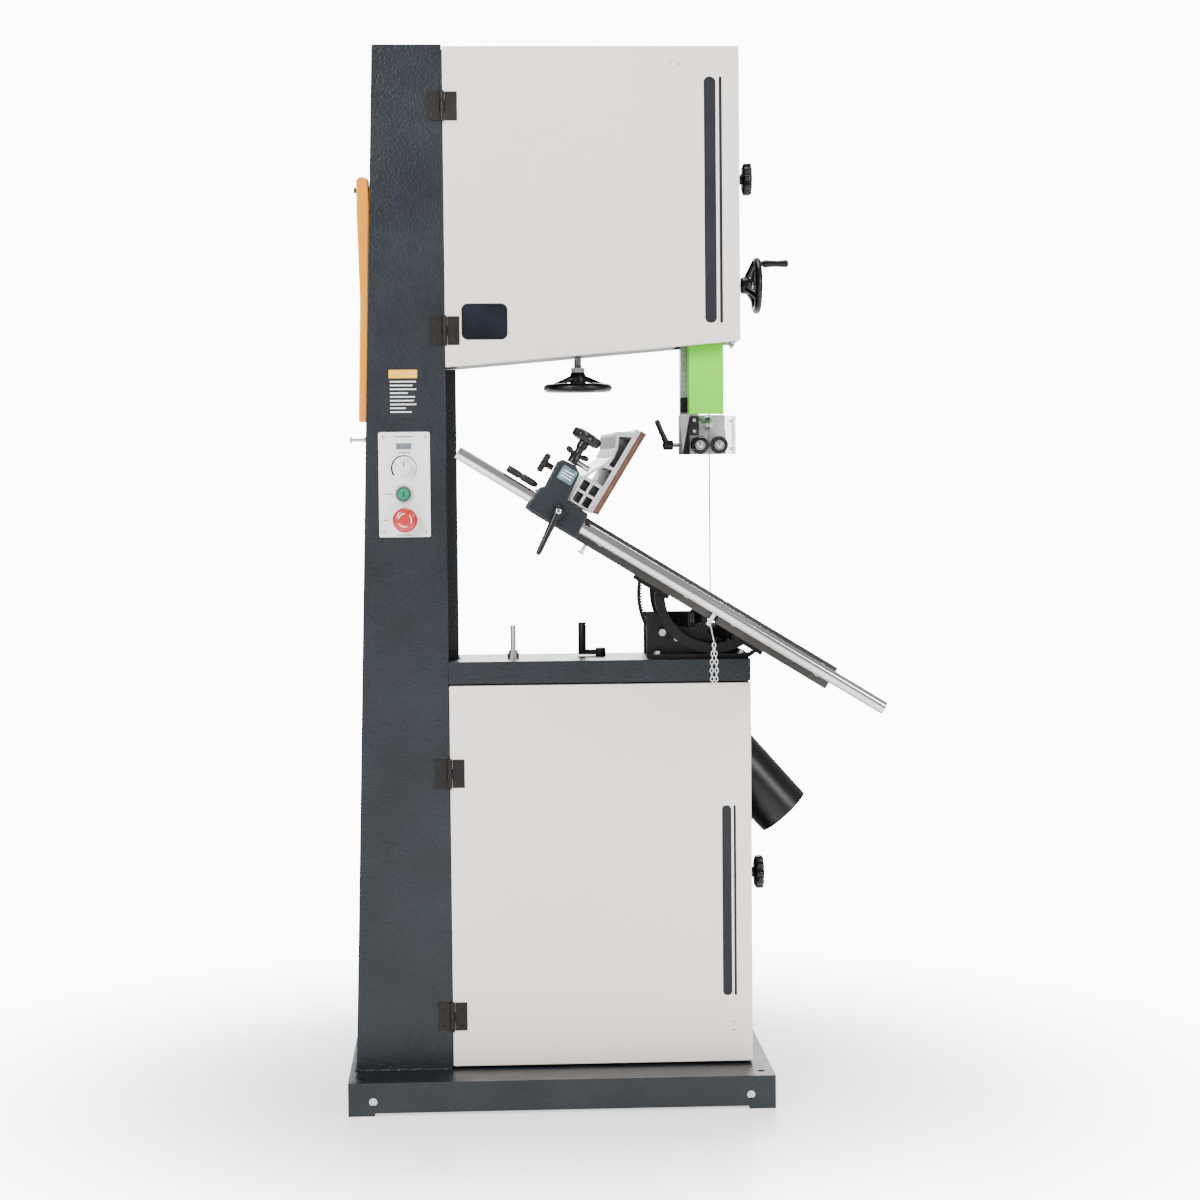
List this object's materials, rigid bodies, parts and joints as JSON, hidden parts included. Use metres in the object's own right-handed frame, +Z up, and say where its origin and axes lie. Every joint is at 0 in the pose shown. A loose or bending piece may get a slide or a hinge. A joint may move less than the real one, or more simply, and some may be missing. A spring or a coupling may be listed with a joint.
{
  "type": "band saw",
  "caption": "Upright band saw with a folded-steel frame, two enclosed wheels, a tilting cast table, rip fence on a round rail and speed panel.",
  "frame": {"origin": "centre of the four floor bolt holes, on the floor", "axes": "+Z up, front (doors and controls) towards -Y, table and fence to +X of the column"},
  "size_m": [0.8922, 0.6065, 1.8],
  "materials": {
    "slate_paint": "hammered slate-grey paint",
    "cream_paint": "smooth warm off-white paint",
    "green_paint": "bright green powder coat",
    "black_paint": "satin black paint",
    "black_plastic": "moulded black",
    "hinge_metal": "dark brown-black",
    "steel": "bright machined",
    "blade_steel": "blued spring steel",
    "cast_iron": "ground top, dark rim",
    "wheel_iron": "machined casting",
    "chrome": "polished",
    "zinc": "zinc-plated",
    "aluminium": "satin anodised",
    "facing": "brown laminate",
    "tyre_rubber": "wheel tyre",
    "belt_rubber": "ribbed belt",
    "clear": "clear acrylic",
    "window_glass": "tinted pane",
    "orange_plastic": "orange",
    "panel_metal": "white-grey plate",
    "white_plastic": "white",
    "green_plastic": "green",
    "red_plastic": "red"
  },
  "bodies": {
    "frame": {"base_pan": "slate_paint", "spine_column": "slate_paint", "upper_housing": "slate_paint", "lower_housing": "slate_paint", "column_hinges": "hinge_metal", "lower_shaft": "steel", "blade": "blade_steel", "lower_guides": "steel", "motor": "black_paint", "drive_belt": "belt_rubber", "trunnion_base": "black_paint", "frame_fittings": "steel", "dust_port": "black_plastic", "control_panel": "panel_metal", "push_stick": "orange_plastic"},
    "upper_door": {"upper_door": "cream_paint", "upper_door_leaves": "hinge_metal", "door_window": "window_glass"},
    "lower_door": {"lower_door": "cream_paint", "lower_door_leaves": "hinge_metal"},
    "upper_latch": {"upper_latch_knob": "black_plastic"},
    "lower_latch": {"lower_latch_knob": "black_plastic"},
    "carriage": {"tension_carriage": "steel", "tension_spring": "steel"},
    "upper_wheel": {"upper_wheel": "wheel_iron", "upper_tyre": "tyre_rubber", "upper_bearings": "steel"},
    "tension_drive": {"tension_handwheel": "black_paint"},
    "guide": {"guide_post": "steel", "blade_cover": "green_paint", "guide_bracket": "aluminium", "clear_guard": "clear"},
    "left_roller": {"left_roller": "tyre_rubber"},
    "right_roller": {"right_roller": "tyre_rubber"},
    "clamp_lever": {"clamp_lever": "black_plastic"},
    "post_drive": {"post_pinion": "steel", "post_handwheel": "black_paint"},
    "post_handle": {"post_handle": "black_plastic"},
    "lower_wheel": {"lower_wheel": "wheel_iron", "lower_tyre": "tyre_rubber", "lower_bearings": "steel"},
    "motor_pulley": {"motor_pulley": "steel"},
    "table": {"table": "cast_iron", "table_fittings": "zinc", "table_arms": "black_paint", "fence_rail": "chrome"},
    "tilt_pinion": {"tilt_pinion": "steel"},
    "table_lock": {"table_lock_knob": "black_plastic"},
    "pin_chain": {"pin_chain": "zinc"},
    "fence": {"fence_carrier": "slate_paint", "fence_extrusion": "aluminium", "fence_facing": "facing", "fence_fittings": "black_plastic"},
    "fence_lever": {"fence_lever": "black_plastic"},
    "fence_top_knob": {"fence_top_knob": "black_plastic"},
    "fence_side_knob": {"fence_side_knob": "black_plastic"},
    "belt_crank": {"belt_crank": "black_paint"},
    "speed_knob": {"speed_knob": "white_plastic"},
    "start_button": {"start_button": "green_plastic"},
    "stop_button": {"stop_button": "red_plastic"}
  },
  "joints": [
    {"name": "table_tilt", "type": "hinge", "parent": "frame", "child": "table", "pos_m": [0.271, 0, 0.8665], "axis": [0, -1, 0], "range_deg": [-3, 31.5]},
    {"name": "tilt_pinion_turn", "type": "hinge", "parent": "frame", "child": "tilt_pinion", "pos_m": [0.18286, 0, 0.80152], "axis": [0, -1, 0], "range_deg": [-35, 325]},
    {"name": "chain_swing", "type": "hinge", "parent": "table", "child": "pin_chain", "pos_m": [0.249, -0.337, 0.803], "axis": [0, -1, 0], "range_deg": [-32, 4]},
    {"name": "fence_slide", "type": "slide", "parent": "table", "child": "fence", "axis": [0.8526, 0, -0.5225], "range_m": [-0.09, 0.148]},
    {"name": "fence_lever_turn", "type": "hinge", "parent": "fence", "child": "fence_lever", "pos_m": [-0.00371, -0.386, 1.01725], "axis": [0, 1, 0], "range_deg": [-45, 45]},
    {"name": "fence_top_knob_turn", "type": "hinge", "parent": "fence", "child": "fence_top_knob", "pos_m": [0.03932, -0.348, 1.12576], "axis": [0.5225, 0, 0.8526], "range_deg": [-180, 180]},
    {"name": "fence_side_knob_turn", "type": "hinge", "parent": "fence", "child": "fence_side_knob", "pos_m": [-0.02528, -0.348, 1.09498], "axis": [0.8526, 0, -0.5225], "range_deg": [-180, 180]},
    {"name": "table_lock_turn", "type": "hinge", "parent": "frame", "child": "table_lock", "pos_m": [0.237, -0.071, 0.826], "axis": [0, 0, 1], "range_deg": [-180, 180]},
    {"name": "guide_post_slide", "type": "slide", "parent": "frame", "child": "guide", "axis": [0, 0, 1], "range_m": [-0.15, 0.11]},
    {"name": "post_handwheel_turn", "type": "hinge", "parent": "frame", "child": "post_drive", "pos_m": [0.34, 0.036, 1.403], "axis": [1, 0, 0], "range_deg": [-530, 720]},
    {"name": "post_handle_spin", "type": "hinge", "parent": "post_drive", "child": "post_handle", "pos_m": [0.39, 0.036, 1.441], "axis": [1, 0, 0], "continuous": true},
    {"name": "left_roller_spin", "type": "hinge", "parent": "guide", "child": "left_roller", "pos_m": [0.2546, -0.032, 1.123], "axis": [0, 1, 0], "continuous": true},
    {"name": "right_roller_spin", "type": "hinge", "parent": "guide", "child": "right_roller", "pos_m": [0.2882, -0.032, 1.123], "axis": [0, 1, 0], "continuous": true},
    {"name": "clamp_lever_turn", "type": "hinge", "parent": "guide", "child": "clamp_lever", "pos_m": [0.2, -0.04, 1.1235], "axis": [1, 0, 0], "range_deg": [-60, 60]},
    {"name": "upper_door_hinge", "type": "hinge", "parent": "frame", "child": "upper_door", "pos_m": [-0.1845, -0.1221, 1.5], "axis": [0, 0, -1], "range_deg": [0, 165]},
    {"name": "lower_door_hinge", "type": "hinge", "parent": "frame", "child": "lower_door", "pos_m": [-0.1845, -0.1221, 0.39], "axis": [0, 0, -1], "range_deg": [0, 165]},
    {"name": "upper_latch_turn", "type": "hinge", "parent": "frame", "child": "upper_latch", "pos_m": [0.325, -0.058, 1.578], "axis": [1, 0, 0], "range_deg": [0, 90]},
    {"name": "lower_latch_turn", "type": "hinge", "parent": "frame", "child": "lower_latch", "pos_m": [0.34, -0.058, 0.38], "axis": [1, 0, 0], "range_deg": [0, 90]},
    {"name": "tension_turn", "type": "hinge", "parent": "frame", "child": "tension_drive", "pos_m": [0.046, 0.02, 1.225], "axis": [0, 0, 1], "range_deg": [-2160, 0]},
    {"name": "tension_slide", "type": "slide", "parent": "frame", "child": "carriage", "axis": [0, 0, 1], "range_m": [-0.012, 0]},
    {"name": "lower_wheel_spin", "type": "hinge", "parent": "frame", "child": "lower_wheel", "pos_m": [0.046, -0.03, 0.39], "axis": [0, 1, 0], "continuous": true},
    {"name": "upper_wheel_spin", "type": "hinge", "parent": "carriage", "child": "upper_wheel", "pos_m": [0.046, -0.03, 1.55], "axis": [0, 1, 0], "continuous": true},
    {"name": "motor_pulley_spin", "type": "hinge", "parent": "frame", "child": "motor_pulley", "pos_m": [-0.08, 0.005, 0.2], "axis": [0, 1, 0], "continuous": true},
    {"name": "belt_crank_turn", "type": "hinge", "parent": "frame", "child": "belt_crank", "pos_m": [0.08, -0.008, 0.765], "axis": [0, 0, 1], "range_deg": [-90, 90]},
    {"name": "speed_knob_turn", "type": "hinge", "parent": "frame", "child": "speed_knob", "pos_m": [-0.256, -0.13, 1.088], "axis": [0, 1, 0], "range_deg": [-135, 135]},
    {"name": "start_press", "type": "slide", "parent": "frame", "child": "start_button", "axis": [0, 1, 0], "range_m": [0, 0.003], "stiffness_N_per_m": 600},
    {"name": "stop_press", "type": "slide", "parent": "frame", "child": "stop_button", "axis": [0, 1, 0], "range_m": [0, 0.004], "stiffness_N_per_m": 900}
  ],
  "couplings": [
    {"joint": "tilt_pinion_turn", "follows": "table_tilt", "ratio": 10.125},
    {"joint": "chain_swing", "follows": "table_tilt", "ratio": -1},
    {"joint": "post_handwheel_turn", "follows": "guide_post_slide", "rad_per_m": -83.333},
    {"joint": "tension_slide", "follows": "tension_turn", "m_per_rad": 0.00031831},
    {"joint": "upper_wheel_spin", "follows": "lower_wheel_spin", "ratio": 1},
    {"joint": "motor_pulley_spin", "follows": "lower_wheel_spin", "ratio": 2.5}
  ]
}
